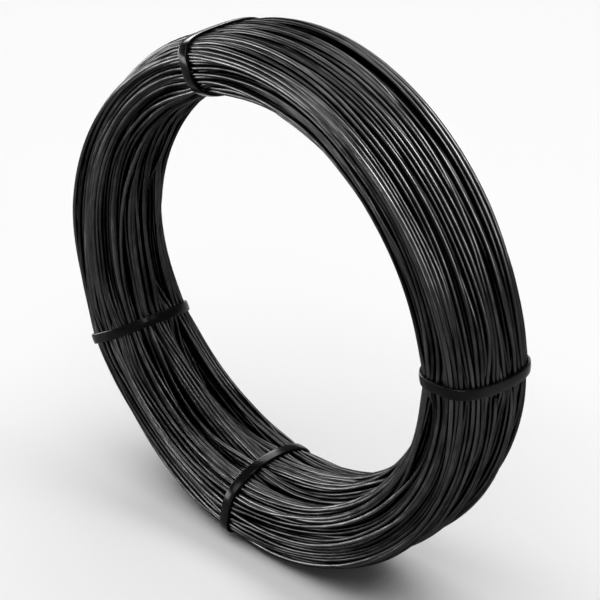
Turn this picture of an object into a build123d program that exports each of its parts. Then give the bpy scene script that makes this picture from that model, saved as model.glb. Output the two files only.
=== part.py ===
"""Coil of black tie wire, bound by four flat straps.

The wire is wound in layers into a ring. The loose turns hang, so the ring is thin at its top and thick at
its foot: the rim and the bore are both round, and the axis of the bore lies above that of the rim. The
layers near the rim and the bore are shorter than those between, so the corners of the ring's section fall
away, further in the bore than on the rim. The turns keep together in bundles, and grooves run round the
ring between the bundles. The last turns of the longest layers show as ridges on both ends. The ring is one
turned body with its bore. Each strap is a closed band round the section. It was pulled tight, so the turns
give way under it, and it lies in a seat a little below the ring's outline.

Frame: millimetres. The coil stands on its rim. The origin is the lowest point of the rim, +Z is up,
and the bore runs along Y. The front end faces -Y.
"""

from build123d import *
from math import cos, pi, radians, sin, sqrt, tan
import os

# Wire and winding: the thickness is that of the ring if its bore had not risen
WIRE_DIAMETER = 2.0
BORE_DIAMETER = 186.0
BORE_RISE = 5.4
WINDING_THICKNESS = 32.0
COIL_WIDTH = 52.0

# Straight walls of the rim and the bore, and the flat of an end where the ring is thinnest
RIM_WALL = 10.0
BORE_WALL = 8.0
END_FLAT = 2.6

# Corners between the walls and the ends: the rim's share of the room for both, and the flats in each
RIM_CORNER_SHARE = 0.46
CORNER_FLATS = 3

# Grooves between bundles, and the corner's edges that they follow, counted from the wall
GROOVE_WIDTH = 3.6
GROOVE_DEPTH = 2.4
RIM_GROOVES = (0, 2)
BORE_GROOVES = (1,)

# Straps, and their places round the ring, in degrees from +X towards +Z
STRAP_WIDTH = 4.8
STRAP_THICKNESS = 1.2
STRAP_BEVEL = 0.35
STRAP_SINK = 0.15
STRAP_CLEARANCE = 0.1
STRAP_ANGLES = (108.0, 207.0, 263.5, 4.5)

# How far a cut runs past the surface that it opens
CUT_OVERRUN = 2.0

# Sizes that follow from these
bore_radius = BORE_DIAMETER / 2
rim_radius = bore_radius + WINDING_THICKNESS
half_width = COIL_WIDTH / 2
corner_room = WINDING_THICKNESS - BORE_RISE - END_FLAT
rim_reach = RIM_CORNER_SHARE * corner_room
bore_reach = corner_room - rim_reach
seat_depth = STRAP_SINK + STRAP_THICKNESS + STRAP_CLEARANCE

# A turn on an end shows as two sides of a hexagon round its wire, point up
turn_count = round((END_FLAT + BORE_RISE) / WIRE_DIAMETER)
turn_rise = WIRE_DIAMETER / 2 * tan(pi / 6)


def side(radius, reach, wall):
    """Points of one side of the section, from its lower end edge to its upper one.

    The wall lies at the radius. The corners lie on ellipses and reach outwards from it, or inwards where
    the reach is negative.
    """
    depth = half_width - wall / 2
    steps = [pi / 2 * flat / CORNER_FLATS for flat in range(CORNER_FLATS + 1)]
    upper = [(radius + reach * (1 - cos(step)), wall / 2 + depth * sin(step)) for step in steps]
    return [(x, -y) for x, y in upper[::-1]] + upper


def grooved(points, edges):
    """Points of a side with a groove along the given edges of both its corners."""
    middle = len(points) // 2
    places = [middle + edge for edge in edges] + [middle - 1 - edge for edge in edges]
    cut = []
    for number, point in enumerate(points):
        if number not in places:
            cut.append(Vector(*point))
            continue
        here = Vector(*point)
        back = (Vector(*points[number - 1]) - here).normalized()
        ahead = (Vector(*points[number + 1]) - here).normalized()
        inward = (back + ahead).normalized()
        cut.append(here + back * (GROOVE_WIDTH / 2))
        cut.append(here + inward * GROOVE_DEPTH)
        cut.append(here + ahead * (GROOVE_WIDTH / 2))
    return cut


def turned(points):
    """Body turned about the Z axis from the points of its side, closed along the axis."""
    ends = [Vector(0, points[-1].Y), Vector(0, points[0].Y)]
    return revolve(Plane.XZ * make_face(Polyline(*points, *ends, close=True)), Axis.Z)


def bore_plug():
    """Body that fills the bore and runs past both ends, about the Z axis."""
    points = grooved(side(bore_radius, bore_reach, BORE_WALL), BORE_GROOVES)
    past = Vector(0, CUT_OVERRUN)
    return turned([points[0] - past, *points, points[-1] + past])


def end_notches():
    """Ring that cuts the notches between the turns on the upper end, about the Z axis."""
    outermost = rim_radius - rim_reach
    points = [Vector(outermost, half_width)]
    for turn in range(turn_count):
        crest = outermost - turn * WIRE_DIAMETER
        points.append(Vector(crest - WIRE_DIAMETER / 2, half_width - turn_rise))
        points.append(Vector(crest - WIRE_DIAMETER, half_width))
    past = Vector(0, CUT_OVERRUN)
    face = make_face(Polyline(*points, points[-1] + past, points[0] + past, close=True))
    return revolve(Plane.XZ * face, Axis.Z)


def section(angle):
    """Face of the ring's section at an angle, without its grooves and notches."""
    across, up = cos(radians(angle)), sin(radians(angle))
    wall_radius = BORE_RISE * up + sqrt(bore_radius**2 - (BORE_RISE * across) ** 2)
    rim_side = side(rim_radius, -rim_reach, RIM_WALL)
    bore_side = side(wall_radius, bore_reach, BORE_WALL)
    return make_face(Polyline(*rim_side, *bore_side[::-1], close=True))


def band(angle, outer_inset, inner_inset, width):
    """Closed band between two insets of the section, standing at its angle round the Z axis."""
    outside = offset(section(angle), -outer_inset, kind=Kind.INTERSECTION)
    inside = offset(section(angle), -inner_inset, kind=Kind.INTERSECTION)
    return Rot(0, 0, angle) * extrude(Plane.XZ * (outside - inside), amount=width / 2, both=True)


def strap(angle):
    """One strap at its angle, with its outer edges bevelled."""
    body = band(angle, STRAP_SINK, STRAP_SINK + STRAP_THICKNESS, STRAP_WIDTH)
    sides = body.faces().sort_by(Axis((0, 0, 0), (-sin(radians(angle)), cos(radians(angle)), 0)))
    edges = sides[0].outer_wire().edges() + sides[-1].outer_wire().edges()
    return chamfer(edges, STRAP_BEVEL)


def wire_coil():
    """The wound ring about the Z axis, with a seat for each strap."""
    ring = turned(grooved(side(rim_radius, -rim_reach, RIM_WALL), RIM_GROOVES))
    notches = end_notches()
    ring = ring - notches - mirror(notches, about=Plane.XY) - Pos(0, BORE_RISE, 0) * bore_plug()
    for angle in STRAP_ANGLES:
        ring -= band(angle, -CUT_OVERRUN, seat_depth, STRAP_WIDTH + 2 * STRAP_CLEARANCE)
    return ring


# The ring is made lying about the Z axis, and then stands on its rim
standing = Pos(0, 0, rim_radius) * Rot(90, 0, 0)
os.makedirs("parts", exist_ok=True)
export_step(standing * wire_coil(), "parts/wire_coil.step")
for number, angle in enumerate(STRAP_ANGLES, start=1):
    export_step(standing * strap(angle), f"parts/strap_{number}.step")
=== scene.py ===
"""Looks of a coil of black tie wire, bound by four straps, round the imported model.

The wire is one long strand. It is laid turn after turn round an uneven ring: each turn follows its own
wandering way, slides into the nearest groove between the turns below it and lies on top of them. Under the
loose turns is a body of tightly packed turns. Each strap is a band pulled tight round the wire at its place.

Row frame, metres: the coil stands on its rim, +Z is up, the bore runs along Y and the front end faces -Y.
Clock angles run from +X towards +Z. Sizes in the classes below are in millimetres unless they say otherwise.
"""

import logging
import math
from dataclasses import dataclass, field
from enum import Enum
from typing import Any, Sequence

import bpy
import numpy as np
from mathutils import Matrix, Vector


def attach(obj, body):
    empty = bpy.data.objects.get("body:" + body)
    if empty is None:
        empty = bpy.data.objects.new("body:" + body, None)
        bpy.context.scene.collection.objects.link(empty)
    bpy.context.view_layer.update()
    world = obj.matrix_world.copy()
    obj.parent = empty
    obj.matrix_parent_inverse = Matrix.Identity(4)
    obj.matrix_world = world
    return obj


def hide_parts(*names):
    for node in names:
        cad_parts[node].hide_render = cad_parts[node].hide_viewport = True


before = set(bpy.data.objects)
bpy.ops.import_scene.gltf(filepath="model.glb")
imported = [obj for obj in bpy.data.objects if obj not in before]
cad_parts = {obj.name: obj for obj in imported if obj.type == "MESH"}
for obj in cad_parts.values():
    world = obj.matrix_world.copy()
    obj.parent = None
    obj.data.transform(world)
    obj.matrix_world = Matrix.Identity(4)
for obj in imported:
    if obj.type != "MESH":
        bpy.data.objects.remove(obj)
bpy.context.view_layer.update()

MM = 0.001
NOISE_MIDDLE = 0.5
BODY = "root"
COIL_NODE = "wire_coil"
BAKE_MAP = "OFBake"
STRAND = "strand"
log = logging.getLogger("tie_wire_coil")

Array = np.ndarray


class Slot(Enum):
    """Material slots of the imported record."""

    WIRE = "wire"
    STRAP = "strap"


class LampRole(Enum):
    """What a lamp is for: a flood lights surfaces, and a card only shows in reflections."""

    FLOOD = "flood"
    CARD = "card"


class Signal:
    """A node's output, so that sums on it are written as sums."""

    def __init__(self, tree: bpy.types.NodeTree, socket: bpy.types.NodeSocket) -> None:
        """Wraps one output socket of a node tree."""
        self.tree = tree
        self.socket = socket

    def _math(self, operation: str, first: Any, second: Any) -> "Signal":
        """Adds a Math node on two values.

        Args:
            operation: The Math node's operation.
            first: A signal or a number.
            second: A signal or a number.

        Returns:
            The node's output.
        """
        node = self.tree.nodes.new("ShaderNodeMath")
        node.operation = operation
        for socket, value in zip(node.inputs, (first, second)):
            if isinstance(value, Signal):
                self.tree.links.new(value.socket, socket)
            else:
                socket.default_value = value
        return Signal(self.tree, node.outputs[0])

    def __add__(self, other: Any) -> "Signal":
        """This plus other."""
        return self._math("ADD", self, other)

    def __radd__(self, other: Any) -> "Signal":
        """Other plus this."""
        return self._math("ADD", other, self)

    def __sub__(self, other: Any) -> "Signal":
        """This less other."""
        return self._math("SUBTRACT", self, other)

    def __rsub__(self, other: Any) -> "Signal":
        """Other less this."""
        return self._math("SUBTRACT", other, self)

    def __mul__(self, other: Any) -> "Signal":
        """This times other."""
        return self._math("MULTIPLY", self, other)

    def __rmul__(self, other: Any) -> "Signal":
        """Other times this."""
        return self._math("MULTIPLY", other, self)


class FinishSheet:
    """Node tree of one material, with one way to add a node."""

    def __init__(self, name: str) -> None:
        """Starts an empty material that ends in a Principled shader.

        Args:
            name: The material's name.
        """
        self.material = bpy.data.materials.new(name)
        self.material.use_nodes = True
        self.tree = self.material.node_tree
        self.tree.nodes.clear()
        self.shader = self.tree.nodes.new("ShaderNodeBsdfPrincipled")
        output = self.tree.nodes.new("ShaderNodeOutputMaterial")
        self.tree.links.new(self.shader.outputs["BSDF"], output.inputs["Surface"])

    def node(self, kind: str, settings: dict[str, Any], sockets: dict[Any, Any], out: Any = 0) -> Signal:
        """Adds a node.

        Args:
            kind: The node's type.
            settings: The node's own settings, set first.
            sockets: Values or signals by input name or number.
            out: The output to hand back.

        Returns:
            That output.
        """
        node = self.tree.nodes.new(kind)
        for name, value in settings.items():
            if name == "stops":
                self._stops(node.color_ramp, value)
            else:
                setattr(node, name, value)
        self._fill(node, sockets)
        return Signal(self.tree, node.outputs[out])

    def ranged(self, value: Signal, source: tuple[float, float], target: tuple[float, float]) -> Signal:
        """Carries a value from one range over to another, and stops at its ends.

        Args:
            value: The value.
            source: The range that it comes from.
            target: The range that it goes to.

        Returns:
            The value in its new range.
        """
        return self.node("ShaderNodeMapRange", {"clamp": True},
                         {"Value": value, "From Min": source[0], "From Max": source[1],
                          "To Min": target[0], "To Max": target[1]})

    def noise(self, place: Signal, scale: float, detail: float = 2.0) -> Signal:
        """Soft random values from 0 to 1.

        Args:
            place: Where each point lies.
            scale: Swells to a metre.
            detail: How many finer layers lie over them.

        Returns:
            The values.
        """
        return self.node("ShaderNodeTexNoise", {"noise_dimensions": "3D"},
                         {"Vector": place, "Scale": scale, "Detail": detail})

    def bump(self, height: Signal, strength: float, distance: float, under: Signal | None = None) -> Signal:
        """Bends the surface's direction by a height.

        Args:
            height: The height, from 0 to 1.
            strength: How much of it is used.
            distance: The height that 1 stands for, in metres.
            under: A surface that is bent already.

        Returns:
            The bent direction.
        """
        sockets = {"Height": height, "Strength": strength, "Distance": distance}
        if under is not None:
            sockets["Normal"] = under
        return self.node("ShaderNodeBump", {}, sockets)

    def _stops(self, ramp: bpy.types.ColorRamp, stops: Sequence[tuple[float, tuple]]) -> None:
        """Sets a ramp's stops.

        Args:
            ramp: The ramp.
            stops: Places along it and their colours.
        """
        while len(ramp.elements) < len(stops):
            ramp.elements.new(1.0)
        for element, (place, colour) in zip(ramp.elements, stops):
            element.position = place
            element.color = colour

    def _fill(self, node: bpy.types.Node, sockets: dict[Any, Any]) -> None:
        """Sets or links a node's inputs.

        Args:
            node: The node.
            sockets: Values or signals by input name or number.
        """
        for name, value in sockets.items():
            if isinstance(value, Signal):
                self.tree.links.new(value.socket, node.inputs[name])
            else:
                node.inputs[name].default_value = value

    def shade(self, sockets: dict[str, Any]) -> bpy.types.Material:
        """Sets or links the Principled shader's inputs.

        Args:
            sockets: Values or signals by input name.

        Returns:
            The finished material.
        """
        self._fill(self.shader, sockets)
        return self.material


def grey(level: float) -> tuple[float, float, float, float]:
    """A neutral colour."""
    return (level, level, level, 1.0)


@dataclass(frozen=True)
class BlackWireFinish:
    """Annealed wire under a dark oxide skin: satin, mottled and streaked along each turn, a little kinked.

    Heights and depths are in metres. The three parts say how much of the tone comes from each cause. Places
    deep under the ring's outline, such as the undersides of turns, the gaps between them and the packed body,
    get painted shade: their colour is darkened by depth.
    """

    name: str = "black_wire"
    dark: float = 0.009
    light: float = 0.058
    tone_range: tuple[float, float] = (0.38, 0.62)
    roughness: float = 0.32
    roughness_swing: float = 0.24
    edge_gloss: float = 0.42
    batch_per_metre: float = 7.0
    batch_detail: float = 1.0
    batch_part: float = 0.6
    mottle_per_metre: float = 140.0
    mottle_detail: float = 3.0
    mottle_part: float = 0.16
    streak_stretch: tuple[float, float, float] = (90.0, 1800.0, 1.0)
    streak_detail: float = 1.0
    streak_part: float = 0.24
    # Painted shade: the share of the colour left at the deepest places, and the depths over which it darkens.
    shade: float = 0.55
    painted_shade_depths: tuple[float, float] = (0.0009, 0.0028)
    kink_per_metre: float = 45.0
    kink_height: float = 0.0013
    scale_per_metre: float = 900.0
    scale_height: float = 0.00005
    scale_strength: float = 0.25

    def make(self) -> bpy.types.Material:
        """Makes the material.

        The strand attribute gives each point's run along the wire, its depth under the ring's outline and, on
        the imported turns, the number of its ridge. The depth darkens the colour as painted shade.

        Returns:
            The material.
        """
        sheet = FinishSheet(self.name)
        strand = sheet.node("ShaderNodeAttribute", {"attribute_name": STRAND}, {}, "Vector")
        mottle = sheet.noise(strand, self.mottle_per_metre, self.mottle_detail)
        batch = sheet.noise(strand, self.batch_per_metre, self.batch_detail)
        kink = sheet.noise(strand, self.kink_per_metre)
        drawn = sheet.node("ShaderNodeMapping", {}, {"Vector": strand, "Scale": self.streak_stretch})
        streak = sheet.noise(drawn, 1.0, self.streak_detail)
        scale = sheet.noise(sheet.node("ShaderNodeTexCoord", {}, {}, "Object"), self.scale_per_metre)
        tone = batch * self.batch_part + mottle * self.mottle_part + streak * self.streak_part
        level = sheet.ranged(tone, self.tone_range, (self.dark, self.light))
        depth = sheet.node("ShaderNodeSeparateXYZ", {}, {"Vector": strand}, "Y")
        # Painted shade: the colour darkens with depth under the ring's outline.
        colour = level * sheet.ranged(depth, self.painted_shade_depths, (1.0, self.shade))
        rough = self.roughness + (batch - NOISE_MIDDLE) * self.roughness_swing
        kinked = sheet.bump(kink, 1.0, self.kink_height)
        scaled = sheet.bump(scale, self.scale_strength, self.scale_height, kinked)
        return sheet.shade({"Base Color": colour, "Metallic": 1.0, "Roughness": rough, "Normal": scaled,
                            "Specular Tint": grey(self.edge_gloss)})


@dataclass(frozen=True)
class StrapFinish:
    """Black moulded strap: smooth plastic with a faint grain, whose height is in metres."""

    name: str = "black_strap"
    dark: float = 0.004
    light: float = 0.007
    cloud_range: tuple[float, float] = (0.35, 0.65)
    cloud_per_metre: float = 120.0
    roughness: float = 0.2
    roughness_swing: float = 0.1
    gloss: float = 0.05
    grain_per_metre: float = 2500.0
    grain_height: float = 0.00002
    grain_strength: float = 0.2

    def make(self) -> bpy.types.Material:
        """Makes the material.

        Returns:
            The material.
        """
        sheet = FinishSheet(self.name)
        place = sheet.node("ShaderNodeTexCoord", {}, {}, "Object")
        cloud = sheet.noise(place, self.cloud_per_metre)
        grain = sheet.noise(place, self.grain_per_metre)
        tones = zip(self.cloud_range, (grey(self.dark), grey(self.light)))
        colour = sheet.node("ShaderNodeValToRGB", {"stops": list(tones)}, {"Fac": cloud})
        rough = self.roughness + (cloud - NOISE_MIDDLE) * self.roughness_swing
        grained = sheet.bump(grain, self.grain_strength, self.grain_height)
        return sheet.shade({"Base Color": colour, "Roughness": rough, "Normal": grained,
                            "Specular IOR Level": self.gloss})


@dataclass(frozen=True)
class Wave:
    """One even wave round the ring: how many crests, how high, and where the first one stands."""

    crests: int
    height: float
    peak_deg: float

    def at(self, clock: Array) -> Array:
        """Height at clock angles in radians."""
        return self.height * np.cos(self.crests * (clock - math.radians(self.peak_deg)))


def waved(mean: float, waves: Sequence[Wave], clock: Array) -> Array:
    """A size that swells and shrinks round the ring.

    Args:
        mean: The size without its waves.
        waves: The waves.
        clock: Clock angles in radians.

    Returns:
        The size at each angle.
    """
    return mean + sum(wave.at(clock) for wave in waves)


@dataclass(frozen=True)
class RingForm:
    """Outline of the coil: a rounded oblong section whose size drifts round the ring."""

    rim: float = 125.4
    rim_waves: tuple[Wave, ...] = (Wave(2, 1.1, 61), Wave(3, 0.6, 75), Wave(4, 0.6, 0))
    bore: float = 92.0
    bore_waves: tuple[Wave, ...] = (Wave(1, 5.2, 80),)
    half_width: float = 25.6
    width_waves: tuple[Wave, ...] = (Wave(1, 2.0, 335), Wave(2, 1.4, 78))
    rim_squareness: float = 3.8
    bore_squareness: float = 2.06
    table_size: int = 2048
    stand: float = 0.3

    def centre_height(self) -> float:
        """Height of the ring's centre, so that the rim stands on the floor."""
        clock = np.linspace(0, 2 * math.pi, self.table_size)
        return self.stand + float(np.max(-waved(self.rim, self.rim_waves, clock) * np.sin(clock)))

    def section(self, clock: Array) -> tuple[Array, Array, Array]:
        """Section sizes.

        Args:
            clock: Clock angles in radians.

        Returns:
            Middle radius, half thickness and half width at each angle.
        """
        rim = waved(self.rim, self.rim_waves, clock)
        bore = waved(self.bore, self.bore_waves, clock)
        return (rim + bore) / 2, (rim - bore) / 2, waved(self.half_width, self.width_waves, clock)

    def _unit(self, angle: Array) -> tuple[Array, Array, Array]:
        """Points of the outline of a section that is one wide and one thick each way.

        Args:
            angle: Outline angles in radians, from the rim.

        Returns:
            Places across and along the section, and the outline's squareness there.
        """
        across, along = np.cos(angle), np.sin(angle)
        power = np.where(across < 0, self.bore_squareness, self.rim_squareness)
        across = np.sign(across) * np.abs(across) ** (2 / power)
        along = np.sign(along) * np.abs(along) ** (2 / power)
        return across, along, power

    def girth_table(self) -> tuple[Array, Array, float]:
        """Table of the way round the mean section.

        Returns:
            Outline angles, the shares of the girth that they stand at, and the girth.
        """
        angle = np.linspace(0, 2 * math.pi, self.table_size)
        across, along, _ = self._unit(angle)
        half_thickness = (self.rim - self.bore) / 2
        step = np.hypot(np.diff(across) * half_thickness, np.diff(along) * self.half_width)
        way = np.concatenate([[0.0], np.cumsum(step)])
        return angle, way / way[-1], float(way[-1])

    def place(self, clock: Array, share: Array, lift: Array) -> tuple[Array, Array]:
        """Points on, over or under the outline.

        Args:
            clock: Clock angles in radians.
            share: Shares of the girth, from the rim by the back end to the bore and on.
            lift: Distances outside the outline.

        Returns:
            Radius from the coil's axis and place along it.
        """
        angles, shares, _ = self.girth_table()
        middle, thick, wide = self.section(clock)
        across, along, power = self._unit(np.interp(np.mod(share, 1.0), shares, angles))
        normal_r = np.sign(across) * np.abs(across) ** (power - 1) / thick
        normal_y = np.sign(along) * np.abs(along) ** (power - 1) / wide
        size = np.hypot(normal_r, normal_y)
        return middle + across * thick + lift * normal_r / size, along * wide + lift * normal_y / size


def in_space(clock: Array, radius: Array, along: Array, height: float) -> Array:
    """Turns ring places into points.

    Args:
        clock: Clock angles in radians.
        radius: Radii from the coil's axis.
        along: Places along the axis.
        height: Height of the axis.

    Returns:
        Points in millimetres, with a last axis of three.
    """
    return np.stack([radius * np.cos(clock), along, height + radius * np.sin(clock)], axis=-1)


@dataclass
class MeshDraft:
    """Points and faces of a piece, before it becomes an object."""

    points: Array
    quads: Array
    caps: list[Array] = field(default_factory=list)
    strand: Array | None = None
    bake_map: Array | None = None

    def to_object(self, name: str, material: bpy.types.Material) -> bpy.types.Object:
        """Makes the object.

        Args:
            name: The piece's name.
            material: Its finish.

        Returns:
            The object, linked to the scene.
        """
        mesh = bpy.data.meshes.new(name)
        mesh.vertices.add(len(self.points))
        mesh.vertices.foreach_set("co", (self.points * MM).astype(np.float32).ravel())
        corners = np.concatenate([self.quads.ravel(), *self.caps]).astype(np.int32)
        counts = np.concatenate([np.full(len(self.quads), 4), [len(cap) for cap in self.caps]])
        counts = counts.astype(np.int32)
        starts = np.concatenate([[0], np.cumsum(counts)[:-1]]).astype(np.int32)
        mesh.loops.add(len(corners))
        mesh.loops.foreach_set("vertex_index", corners)
        mesh.polygons.add(len(counts))
        mesh.polygons.foreach_set("loop_start", starts)
        mesh.polygons.foreach_set("use_smooth", np.ones(len(counts), bool))
        if self.strand is not None:
            strand = mesh.attributes.new(STRAND, "FLOAT_VECTOR", "POINT")
            strand.data.foreach_set("vector", self.strand.astype(np.float32).ravel())
        mesh.update(calc_edges=True)
        mesh.validate()
        if self.bake_map is not None:
            layer = mesh.uv_layers.new(name=BAKE_MAP)
            layer.uv.foreach_set("vector", self.bake_map.astype(np.float32).ravel())
        mesh.materials.append(material)
        piece = bpy.data.objects.new(name, mesh)
        bpy.context.scene.collection.objects.link(piece)
        return piece


def settle(piece: bpy.types.Object, slot: Slot, *nodes: str) -> None:
    """Puts a piece on the coil's body in place of the CAD nodes that it stands for, and logs it.

    Args:
        piece: The piece.
        slot: Its material slot. It is not used.
        nodes: Names of the nodes.
    """
    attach(piece, BODY)
    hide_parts(*nodes)
    log.info("%s: %d points, %d faces", piece.name, len(piece.data.vertices), len(piece.data.polygons))


def grid_quads(rows: int, columns: int, close_rows: bool) -> Array:
    """Quads between rows of points whose columns run round.

    Args:
        rows: Number of rows.
        columns: Points in each row.
        close_rows: Whether the last row joins the first.

    Returns:
        Point numbers, four to a face.
    """
    row = np.arange(rows if close_rows else rows - 1)[:, None]
    column = np.arange(columns)[None]
    following, beside = (row + 1) % rows, (column + 1) % columns
    quads = np.stack(np.broadcast_arrays(row * columns + column, following * columns + column,
                                         following * columns + beside, row * columns + beside), axis=-1)
    return quads.reshape(-1, 4)


@dataclass(frozen=True)
class StrapLine:
    """A strap's line round the section: its clock angle, and how far it leans and bows to the sides of it."""

    node: str
    angle_deg: float
    lean: tuple[float, float] = (0.0, 0.0)
    bow: tuple[float, float] = (0.0, 0.0)

    def clock(self, share: Array, radius: float) -> Array:
        """Clock angles in radians.

        Args:
            share: Shares of the girth.
            radius: Radius at which the lean and the bow are given.

        Returns:
            The angle at each share.
        """
        once, twice = 2 * math.pi * share, 4 * math.pi * share
        aside = self.lean[0] * np.cos(once) + self.lean[1] * np.sin(once)
        aside = aside + self.bow[0] * np.cos(twice) + self.bow[1] * np.sin(twice)
        return math.radians(self.angle_deg) + aside / radius


@dataclass
class Winding:
    """The strand's way: where each turn lies on the ring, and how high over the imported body.

    Turns drift together, wander alone and gather in bunches. Near the straps they lie calm.
    """

    form: RingForm
    wire: float = 2.0
    turns: int = 175
    stations: int = 160
    start_deg: float = 3.2
    turns_a_round: float = 58.38
    drift: float = 1.1
    drift_crests: int = 3
    drift_turns: float = 4.0
    wander: float = 1.0
    wander_knots: float = 4.0
    knot_reach: int = 4
    bunch_shares: tuple[float, ...] = (0.4, 0.5, 0.5)
    bunch_creep: float = 0.008
    bunch_lobes: tuple[int, ...] = (5, 9, 13)
    bunch_leans: tuple[int, ...] = (1, -1, 1)
    straps: tuple[StrapLine, ...] = (
        StrapLine("strap_1", 108.0, (0.5, 0.0), (2.4, -0.7)),
        StrapLine("strap_2", 207.1, (1.1, 1.2), (-0.3, -0.5)),
        StrapLine("strap_3", 263.5, (-4.1, -0.6), (0.2, -0.8)),
        StrapLine("strap_4", 4.3, (-1.7, -3.2), (-0.8, 0.1)),
    )
    strap_calm_deg: float = 10.0
    skin_strips: int = 64
    skin_reach: int = 2
    skin_evenings: int = 6
    slides: int = 9
    slide_reach: float = 1.0
    slide_evenings: int = 6
    bridge_passes: int = 24
    height_evenings: int = 2
    height_cost: float = 1.0
    slide_cost: float = 0.3
    bend_cost: float = 9.0
    seed: int = 11

    def clock(self) -> Array:
        """Clock angles of the stations of one turn, in radians."""
        return math.radians(self.start_deg) + np.arange(self.stations) * (2 * math.pi / self.stations)

    def _noise(self, random: np.random.Generator, knots_a_turn: float) -> Array:
        """Smooth random values along the whole strand, about one high, on a cubic curve through random knots.

        Args:
            random: Where the knots come from.
            knots_a_turn: Knots to a turn.

        Returns:
            The values, turns by stations.
        """
        count = self.turns * self.stations
        at = np.arange(count) / self.stations * knots_a_turn
        knots = random.standard_normal(int(at[-1]) + self.knot_reach + 1)
        whole, part = at.astype(int), at % 1.0
        before, here, ahead, beyond = (knots[whole + step] for step in range(self.knot_reach))
        bend = 2 * before - 5 * here + 4 * ahead - beyond
        twist = 3 * (here - ahead) + beyond - before
        curve = here + 0.5 * part * (ahead - before + part * (bend + part * twist))
        return curve.reshape(self.turns, self.stations)

    def _drift(self, random: np.random.Generator) -> Array:
        """Sideways drift, about one high, that turns wound one after another share.

        Args:
            random: Where the drift comes from.

        Returns:
            The drift, turns by stations.
        """
        drift = np.zeros((self.turns, self.stations))
        clock = self.clock()[None]
        for crests in range(1, self.drift_crests + 1):
            for wave in (np.cos(crests * clock), np.sin(crests * clock)):
                drift = drift + wave * self._noise(random, 1 / self.drift_turns) / crests ** 0.5
        return drift / self.drift_crests ** 0.5

    def near_straps(self, share: Array, reach_deg: float) -> Array:
        """1 at the straps, falling to 0 over an angle.

        Args:
            share: Shares of the girth, turns by stations.
            reach_deg: How far a strap reaches.

        Returns:
            Nearness, shaped as share.
        """
        clear = np.ones(share.shape)
        for strap in self.straps:
            away = self.clock()[None] - strap.clock(share, self.form.rim)
            away = (away + math.pi) % (2 * math.pi) - math.pi
            clear *= 1 - np.exp(-((np.degrees(away) / reach_deg) ** 2))
        return 1 - clear

    def wished_ways(self) -> Array:
        """Each turn's own way across the girth before it settles.

        Returns:
            Shares of the girth, shaped turns by stations.
        """
        random = np.random.default_rng(self.seed)
        girth = self.form.girth_table()[2]
        along = np.arange(self.turns)[:, None] + np.arange(self.stations)[None] / self.stations
        share = along / self.turns_a_round
        share = share + self._drift(random) * self.drift / girth
        share = share + self._noise(random, self.wander_knots) * self.wander / girth
        clock, calm = self.clock()[None], 1 - self.near_straps(share, self.strap_calm_deg)
        for lobes, lean, strength in zip(self.bunch_lobes, self.bunch_leans, self.bunch_shares):
            phase = random.uniform(0, 2 * math.pi)
            swing = strength / (2 * math.pi * lobes)
            creep = self.bunch_creep * along
            share = share + calm * swing * np.sin(2 * math.pi * lobes * share + lean * clock + phase + creep)
        return share

    def _support(self, way: Array, laid_ways: Array, laid_heights: Array, girth: float) -> Array:
        """Height at which a turn lies on the turns under it.

        Args:
            way: Places across the girth, with stations on the last axis.
            laid_ways: The laid turns' places, turns by stations.
            laid_heights: Their heights.
            girth: Length of the girth, where places wrap.

        Returns:
            Heights, shaped as way.
        """
        apart = way[..., None, :] - laid_ways
        apart -= girth * np.round(apart / girth)
        rise = np.sqrt(np.maximum(self.wire ** 2 - apart ** 2, 0.0))
        tops = np.where(rise > 0, laid_heights + rise, 0.0)
        return np.maximum(tops.max(axis=-2, initial=0.0), 0.0)

    def _slide(self, heights: Array, offsets: Array, first: int) -> tuple[Array, int]:
        """The smooth way that lies lowest among side steps.

        Args:
            heights: Support at each offset and station.
            offsets: The side steps.
            first: Number of the side step that the last turn ended at.

        Returns:
            The step at each station, and the number of the last one.
        """
        own = self.height_cost * heights + self.slide_cost * offsets[:, None] ** 2
        bend = self.bend_cost * (offsets[:, None] - offsets[None]) ** 2
        total = bend[:, first] + own[:, 0]
        came = np.zeros((len(offsets), self.stations), int)
        for station in range(1, self.stations):
            ways = total[None] + bend
            came[:, station] = ways.argmin(axis=1)
            total = ways.min(axis=1) + own[:, station]
        at = int(total.argmin())
        path = np.empty(self.stations, int)
        for station in range(self.stations - 1, -1, -1):
            path[station] = at
            at = came[at, station]
        return offsets[path], int(path[-1])

    @staticmethod
    def _soften(values: Array, before: float, times: int) -> Array:
        """Evens values out along a turn.

        Args:
            values: The values at the stations of the turn.
            before: The last value of the turn before.
            times: How often they are evened out.

        Returns:
            The evened values.
        """
        for _ in range(times):
            padded = np.concatenate([[before], values, [2 * values[-1] - values[-2]]])
            values = (padded[:-2] + 2 * padded[1:-1] + padded[2:]) / 4
        return values

    def lay(self) -> tuple[Array, Array]:
        """Lays the turns one after another.

        Returns:
            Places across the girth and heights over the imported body, both turns by stations.
        """
        girth = self.form.girth_table()[2]
        wished = self.wished_ways() * girth
        offsets = np.linspace(-self.slide_reach, self.slide_reach, self.slides)
        ways, heights = np.zeros_like(wished), np.zeros_like(wished)
        step, last_offset, last_height = self.slides // 2, 0.0, 0.0
        for turn in range(self.turns):
            under = (ways[:turn], heights[:turn], girth)
            trial = self._support(wished[turn][None] + offsets[:, None], *under)
            slid, step = self._slide(trial, offsets, step)
            slid = self._soften(slid, last_offset, self.slide_evenings)
            ways[turn] = wished[turn] + slid
            rest = self._support(ways[turn], *under)
            height = rest.copy()
            for _ in range(self.bridge_passes):
                padded = np.concatenate([[last_height], height, [height[-1]]])
                height = np.maximum(rest, (padded[:-2] + padded[2:]) / 2)
            heights[turn] = self._soften(height, last_height, self.height_evenings)
            last_offset, last_height = slid[-1], heights[turn][-1]
        return ways / girth, heights

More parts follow.
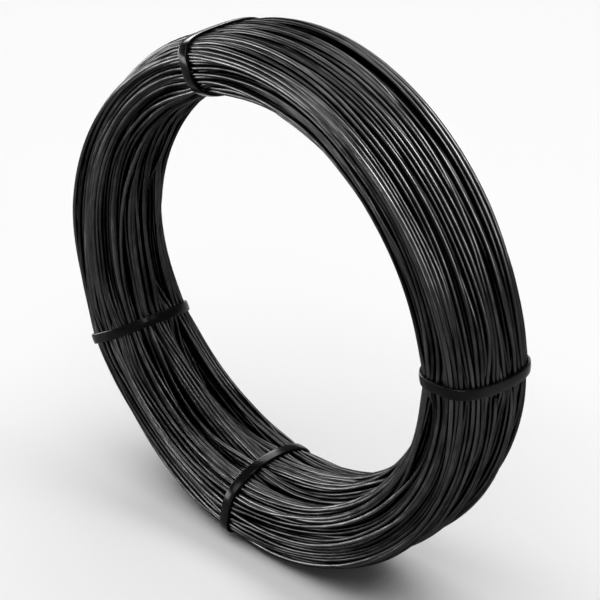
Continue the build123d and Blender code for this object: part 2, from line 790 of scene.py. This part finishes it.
    def cover(self, ways: Array, heights: Array) -> Array:
        """How far another turn lies over each place of the strand: 0 where it shows, 1 where it is hidden.

        Args:
            ways: Places of the laid turns, as shares of the girth.
            heights: Their heights.

        Returns:
            The cover, turns by stations.
        """
        girth = self.form.girth_table()[2]
        cover = np.zeros_like(ways)
        for way, height in zip(ways, heights):
            apart = np.abs((ways - way + 0.5) % 1.0 - 0.5) * girth / self.wire
            over = np.clip(2 * (height - heights) / self.wire, 0.0, 1.0)
            cover = np.maximum(cover, over * np.clip(2 - 2 * apart, 0.0, 1.0))
        return cover

    def swell(self, ways: Array, heights: Array) -> Array:
        """Height of the smooth skin over the laid turns, at each place of the strand.

        Args:
            ways: Places of the laid turns, as shares of the girth.
            heights: Their heights.

        Returns:
            Heights of the skin, turns by stations.
        """
        column = np.broadcast_to(np.arange(self.stations)[None], ways.shape)
        place = np.mod(ways, 1.0) * self.skin_strips
        skin = np.zeros((self.skin_strips, self.stations))
        np.maximum.at(skin, (place.astype(int) % self.skin_strips, column), heights)
        reach = range(-self.skin_reach, self.skin_reach + 1)
        skin = np.max([np.roll(skin, step, axis=0) for step in reach], axis=0)
        for axis in (0, 1):
            for _ in range(self.skin_evenings):
                skin = (np.roll(skin, 1, axis) + 2 * skin + np.roll(skin, -1, axis)) / 4
        low = np.floor(place - 0.5).astype(int)
        part = place - 0.5 - low
        below, above = (skin[(low + step) % self.skin_strips, column] for step in (0, 1))
        return (1 - part) * below + part * above


@dataclass
class WireBundle:
    """The strand as tubes, in a few long pieces that follow on from each other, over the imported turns.

    The sizes from strip_margin to cap_places are shares of the bake map, or of a turn's strip on it.
    """

    form: RingForm
    winding: Winding
    finish: BlackWireFinish
    piece_turns: tuple[int, ...] = (58, 57, 30, 30)
    piece_sides: tuple[int, ...] = (6, 8, 14, 14)
    packed_ridges: int = 72
    packed_points: int = 4
    packed_stations: int = 96
    even: float = 0.8
    rise: float = 1.0
    hold: float = 0.8
    pinch: float = 0.7
    nesting: float = 0.87
    pinch_reach_deg: float = 5.0
    strip_margin: float = 0.06
    strip_span: float = 0.88
    run_margin: float = 0.01
    run_span: float = 0.96
    cap_size: float = 0.004
    cap_places: tuple[tuple[float, float], ...] = ((0.985, 0.25), (0.985, 0.75))
    material: bpy.types.Material = field(init=False)
    strand_points: Array = field(init=False)
    strand_normals: Array = field(init=False)
    strand_lifts: Array = field(init=False)

    def build(self) -> list[bpy.types.Object]:
        """Builds the pieces.

        Returns:
            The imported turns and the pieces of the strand.
        """
        ways, heights = self.winding.lay()
        skin = self.winding.swell(ways, heights)
        depth = float(skin.mean()) + self.winding.wire / 2
        log.info("loose turns stand %.2f mm deep", depth)
        self.material = self.finish.make()
        self._run_strand(ways, heights - depth, skin - depth, self.winding.cover(ways, heights))
        pieces = [self._packed(depth)]
        first = 0
        for number, (turns, sides) in enumerate(zip(self.piece_turns, self.piece_sides), start=1):
            pieces.append(self._tube(f"wire_turns_{number}", first, turns, sides))
            first += turns
        return pieces

    def _run_strand(self, ways: Array, lifts: Array, skin: Array, cover: Array) -> None:
        """Sets the strand's points, outward directions and lifts, in its running order.

        Args:
            ways: Shares of the girth, turns by stations.
            lifts: Heights over the outline. The turns are held to it, and come up to the straps.
            skin: Heights of the smooth skin over the turns.
            cover: How far other turns hide each place.
        """
        clock = np.broadcast_to(self.winding.clock()[None], ways.shape)
        near = self.winding.near_straps(ways, self.pinch_reach_deg)
        wire = self.winding.wire
        lifts = lifts - self.even * (skin + wire / 2) + self.rise
        lifts = lifts - self.hold * np.maximum(lifts + wire / 2, 0.0)
        lifts = lifts + near * (-self.pinch - wire / 2 - self.nesting * wire * cover - lifts)
        height = self.form.centre_height()
        low, high = (in_space(clock, *self.form.place(clock, ways, lifts + step), height)
                     for step in (0.0, 1.0))
        self.strand_points = low.reshape(-1, 3)
        self.strand_normals = (high - low).reshape(-1, 3)
        self.strand_lifts = lifts.ravel()

    def _tube(self, name: str, first_turn: int, turns: int, sides: int) -> bpy.types.Object:
        """One piece of the strand.

        Args:
            name: The piece's name.
            first_turn: Number of its first turn.
            turns: How many turns it has.
            sides: Sides of the wire.

        Returns:
            The piece.
        """
        stations = self.winding.stations
        first = first_turn * stations
        last = min((first_turn + turns) * stations + 1, len(self.strand_points))
        way = np.gradient(self.strand_points, axis=0)[first:last]
        way /= np.linalg.norm(way, axis=1, keepdims=True)
        aside = np.array([0.0, 1.0, 0.0]) - way * way[:, 1:2]
        aside /= np.linalg.norm(aside, axis=1, keepdims=True)
        outward = np.cross(way, aside)
        angle = np.arange(sides) * (2 * math.pi / sides)
        radius = self.winding.wire / 2
        beside, above = np.cos(angle)[None, :, None], np.sin(angle)[None, :, None]
        ring = radius * (beside * aside[:, None] + above * outward[:, None])
        points = (self.strand_points[first:last][:, None] + ring).reshape(-1, 3)
        rows = last - first
        quads = grid_quads(rows, sides, False)
        caps = [np.arange(sides)[::-1], np.arange(sides) + (rows - 1) * sides]
        run = np.arange(first, last) * (2 * math.pi * self.form.rim * MM / stations)
        lift = (ring * self.strand_normals[first:last, None]).sum(axis=-1)
        lift = self.strand_lifts[first:last, None] + lift
        # The second value is the depth under the ring's outline, which the wire's finish turns into painted
        # shade.
        strand = np.stack([np.repeat(run, sides), -lift.ravel() * MM, np.zeros(rows * sides)], axis=-1)
        draft = MeshDraft(points, quads, caps, strand, self._strips(rows, sides, turns))
        return draft.to_object(name, self.material)

    def _strips(self, rows: int, sides: int, turns: int) -> Array:
        """Bake map with one strip to a turn: along the wire across the map, round the wire up the strip.

        Args:
            rows: Rings of points along the piece.
            sides: Sides of the wire.
            turns: Turns in the piece.

        Returns:
            Map places for the corners of the quads and the two caps.
        """
        stations = self.winding.stations
        row, side = np.divmod(np.arange((rows - 1) * sides), sides)
        turn, station = np.divmod(row, stations)
        low, high = ((turn + self.strip_margin + self.strip_span * (side + step) / sides) / turns
                     for step in (0, 1))
        left, right = (self.run_margin + self.run_span * (station + step) / stations for step in (0, 1))
        places = ((left, low), (right, low), (right, high), (left, high))
        corners = np.stack([np.stack(place, axis=-1) for place in places], axis=1)
        angle = np.arange(sides) * (2 * math.pi / sides)
        disc = self.cap_size * np.stack([np.cos(angle), np.sin(angle)], axis=-1)
        caps = [disc + place for place in self.cap_places]
        return np.concatenate([corners.reshape(-1, 2), *caps])

    def _packed(self, depth: float) -> bpy.types.Object:
        """The body of tightly packed turns under the loose ones, with a ridge for each turn on its surface.

        Args:
            depth: How deep the loose turns stand.

        Returns:
            The piece.
        """
        columns = self.packed_ridges * self.packed_points
        share = np.arange(columns) / columns
        phase = (np.arange(columns) % self.packed_points) / self.packed_points
        ridge = self.winding.wire / 2 * np.sqrt(np.maximum(1 - (2 * phase - 1) ** 2, 0.0))
        clock = np.arange(self.packed_stations) * (2 * math.pi / self.packed_stations)
        clock, share, ridge = np.broadcast_arrays(clock[:, None], share[None], ridge[None])
        lift = ridge - depth - self.winding.wire
        radius, along = self.form.place(clock, share, lift)
        points = in_space(clock, radius, along, self.form.centre_height()).reshape(-1, 3)
        ridge_number = np.floor(share * self.packed_ridges)
        # The second value is the depth under the ring's outline, which the wire's finish turns into painted
        # shade.
        strand = np.stack([clock * self.form.rim * MM, -lift * MM, ridge_number], axis=-1)
        quads = grid_quads(self.packed_stations, columns, True)
        draft = MeshDraft(points, quads, strand=strand.reshape(-1, 3))
        return draft.to_object("packed_turns", self.material)

    def dress(self, pieces: Sequence[bpy.types.Object]) -> None:
        """Puts the pieces in the coil's place."""
        for piece in pieces:
            settle(piece, Slot.WIRE, COIL_NODE)


@dataclass
class Strap:
    """One flat band pulled tight round the wire."""

    form: RingForm
    line: StrapLine
    sink: float
    width: float = 4.8
    thickness: float = 1.2
    edge: float = 0.3
    crown: float = 0.15
    edge_points: int = 5
    crown_points: int = 9
    path_points: int = 240

    def _profile(self) -> Array:
        """The band's section, with rounded outer edges and a low crown.

        Returns:
            Points across its width and out from the wire.
        """
        half, top, edge = self.width / 2, self.thickness, self.edge
        bend = np.linspace(0, math.pi / 2, self.edge_points)
        right = np.stack([half - edge + edge * np.cos(bend), top - edge + edge * np.sin(bend)], axis=-1)
        left = right[::-1] * (-1.0, 1.0)
        across = np.linspace(1.0, -1.0, self.crown_points)[1:-1]
        middle = np.stack([across * (half - edge), top + self.crown * (1 - across ** 2)], axis=-1)
        foot = np.array([[-half, 0.0], [half, 0.0]])
        return np.concatenate([right, middle, left, foot])

    def build(self, material: bpy.types.Material) -> bpy.types.Object:
        """Builds the band.

        Args:
            material: Its finish.

        Returns:
            The piece.
        """
        share = np.arange(self.path_points) / self.path_points
        clock = self.line.clock(share, self.form.rim)
        height = self.form.centre_height()
        path, outer = (in_space(clock, *self.form.place(clock, share, np.full_like(share, lift)), height)
                       for lift in (-self.sink, 1 - self.sink))
        outward = outer - path
        along = np.roll(path, -1, axis=0) - np.roll(path, 1, axis=0)
        aside = np.cross(outward, along)
        aside /= np.linalg.norm(aside, axis=1, keepdims=True)
        profile = self._profile()
        across, out = profile[None, :, 0:1], profile[None, :, 1:2]
        points = path[:, None] + across * aside[:, None] + out * outward[:, None]
        draft = MeshDraft(points.reshape(-1, 3), grid_quads(len(path), len(profile), True))
        return draft.to_object(f"band_{self.line.node}", material)

    def dress(self, piece: bpy.types.Object) -> None:
        """Puts the band in its strap's place."""
        settle(piece, Slot.STRAP, self.line.node)


@dataclass(frozen=True)
class SoftLamp:
    """An oblong lamp that hangs in an arc over the coil and faces it. Sizes are in metres."""

    name: str
    angle_deg: float
    forward: float
    glow: float
    across: float = 0.5
    along: float = 0.5
    role: LampRole = LampRole.CARD
    distance: float = 1.25
    target: tuple[float, float, float] = (0.0, 0.0, 0.125)
    watts_per_glow: float = 4.0

    def hang(self) -> None:
        """Hangs the lamp. Its glow is the brightness of its face, where 1 is white."""
        angle = math.radians(self.angle_deg)
        facing = Vector((math.cos(angle), -self.forward, math.sin(angle))).normalized()
        aside = (Vector((0, 1, 0)) - facing * facing.y).normalized()
        lamp = bpy.data.lights.new(self.name, "AREA")
        lamp.shape = "RECTANGLE"
        lamp.size, lamp.size_y = self.across, self.along
        lamp.energy = self.glow * self.watts_per_glow * self.across * self.along
        holder = bpy.data.objects.new(self.name, lamp)
        holder.visible_diffuse = self.role is LampRole.FLOOD
        holder.visible_glossy = self.role is LampRole.CARD
        turned = Matrix((aside, facing.cross(aside), facing)).transposed().to_4x4()
        holder.matrix_world = Matrix.Translation(Vector(self.target) + facing * self.distance) @ turned
        bpy.context.scene.collection.objects.link(holder)


@dataclass(frozen=True)
class Studio:
    """Pale floor, an arc of soft lamps and a dim room. The floor's size is in metres."""

    floor_size: float = 12.0
    floor_colour: float = 0.9
    room: float = 0.12
    lamps: tuple[SoftLamp, ...] = (
        SoftLamp("flood_top", 90.0, 0.0, 1.72, 5.0, 5.0, LampRole.FLOOD, 3.0),
        SoftLamp("card_left_front", 180.0, 1.2, 27.0),
        SoftLamp("card_left", 180.0, 0.5, 14.0),
        SoftLamp("card_left_low", 180.0, 0.0, 28.0),
        SoftLamp("card_left_back", 150.0, -0.6, 14.0),
        SoftLamp("card_upper_left", 120.0, -0.6, 12.0),
        SoftLamp("card_upper_front", 120.0, 1.2, 8.0),
        SoftLamp("card_top", 90.0, 0.0, 10.0),
        SoftLamp("card_upper_right", 60.0, 0.0, 38.0),
        SoftLamp("card_right", 30.0, 0.0, 15.0),
    )

    def build(self) -> None:
        """Builds the floor, lamps and room."""
        self._floor()
        for lamp in self.lamps:
            lamp.hang()
        world = bpy.data.worlds.new("room")
        world.use_nodes = True
        background = world.node_tree.nodes["Background"]
        background.inputs["Color"].default_value = grey(1.0)
        background.inputs["Strength"].default_value = self.room
        bpy.context.scene.world = world

    def _floor(self) -> None:
        """Lays the floor."""
        half = self.floor_size / 2 / MM
        points = np.array([[-half, -half, 0], [half, -half, 0], [half, half, 0], [-half, half, 0]], float)
        sheet = FinishSheet("pale_floor")
        material = sheet.shade({"Base Color": grey(self.floor_colour), "Roughness": 1.0,
                                "Specular IOR Level": 0.0})
        floor = MeshDraft(points, np.array([[0, 1, 2, 3]])).to_object("floor", material)


@dataclass(frozen=True)
class Viewpoint:
    """Camera at the photograph's viewing angle."""

    azimuth_deg: float = 43.89
    elevation_deg: float = 29.12
    distance: float = 917.6
    aim_right: float = 7.41
    aim_up: float = -0.62
    lens: float = 122.8
    sensor: float = 36.0

    def build(self, centre_height: float) -> None:
        """Sets up the camera.

        Args:
            centre_height: Height of the ring's centre.
        """
        azimuth, elevation = math.radians(self.azimuth_deg), math.radians(self.elevation_deg)
        back = Vector((math.sin(azimuth) * math.cos(elevation), -math.cos(azimuth) * math.cos(elevation),
                       math.sin(elevation)))
        right = Vector((math.cos(azimuth), math.sin(azimuth), 0.0))
        up = back.cross(right)
        aim = Vector((0, 0, centre_height)) + right * self.aim_right + up * self.aim_up
        place = aim + back * self.distance
        data = bpy.data.cameras.new("camera")
        data.lens, data.sensor_width = self.lens, self.sensor
        camera = bpy.data.objects.new("camera", data)
        camera.matrix_world = Matrix.Translation(place * MM) @ Matrix((right, up, back)).transposed().to_4x4()
        bpy.context.scene.collection.objects.link(camera)
        bpy.context.scene.camera = camera


def main() -> None:
    """Builds the coil, its straps, the studio and the camera."""
    logging.basicConfig(level=logging.INFO, format="%(name)s: %(message)s")
    bpy.context.scene.view_settings.view_transform = "Standard"
    form = RingForm()
    winding = Winding(form)
    bundle = WireBundle(form, winding, BlackWireFinish())
    bundle.dress(bundle.build())
    strap_material = StrapFinish().make()
    for line in winding.straps:
        strap = Strap(form, line, bundle.pinch)
        strap.dress(strap.build(strap_material))
    Studio().build()
    Viewpoint().build(form.centre_height())


if __name__ == "__main__":
    main()
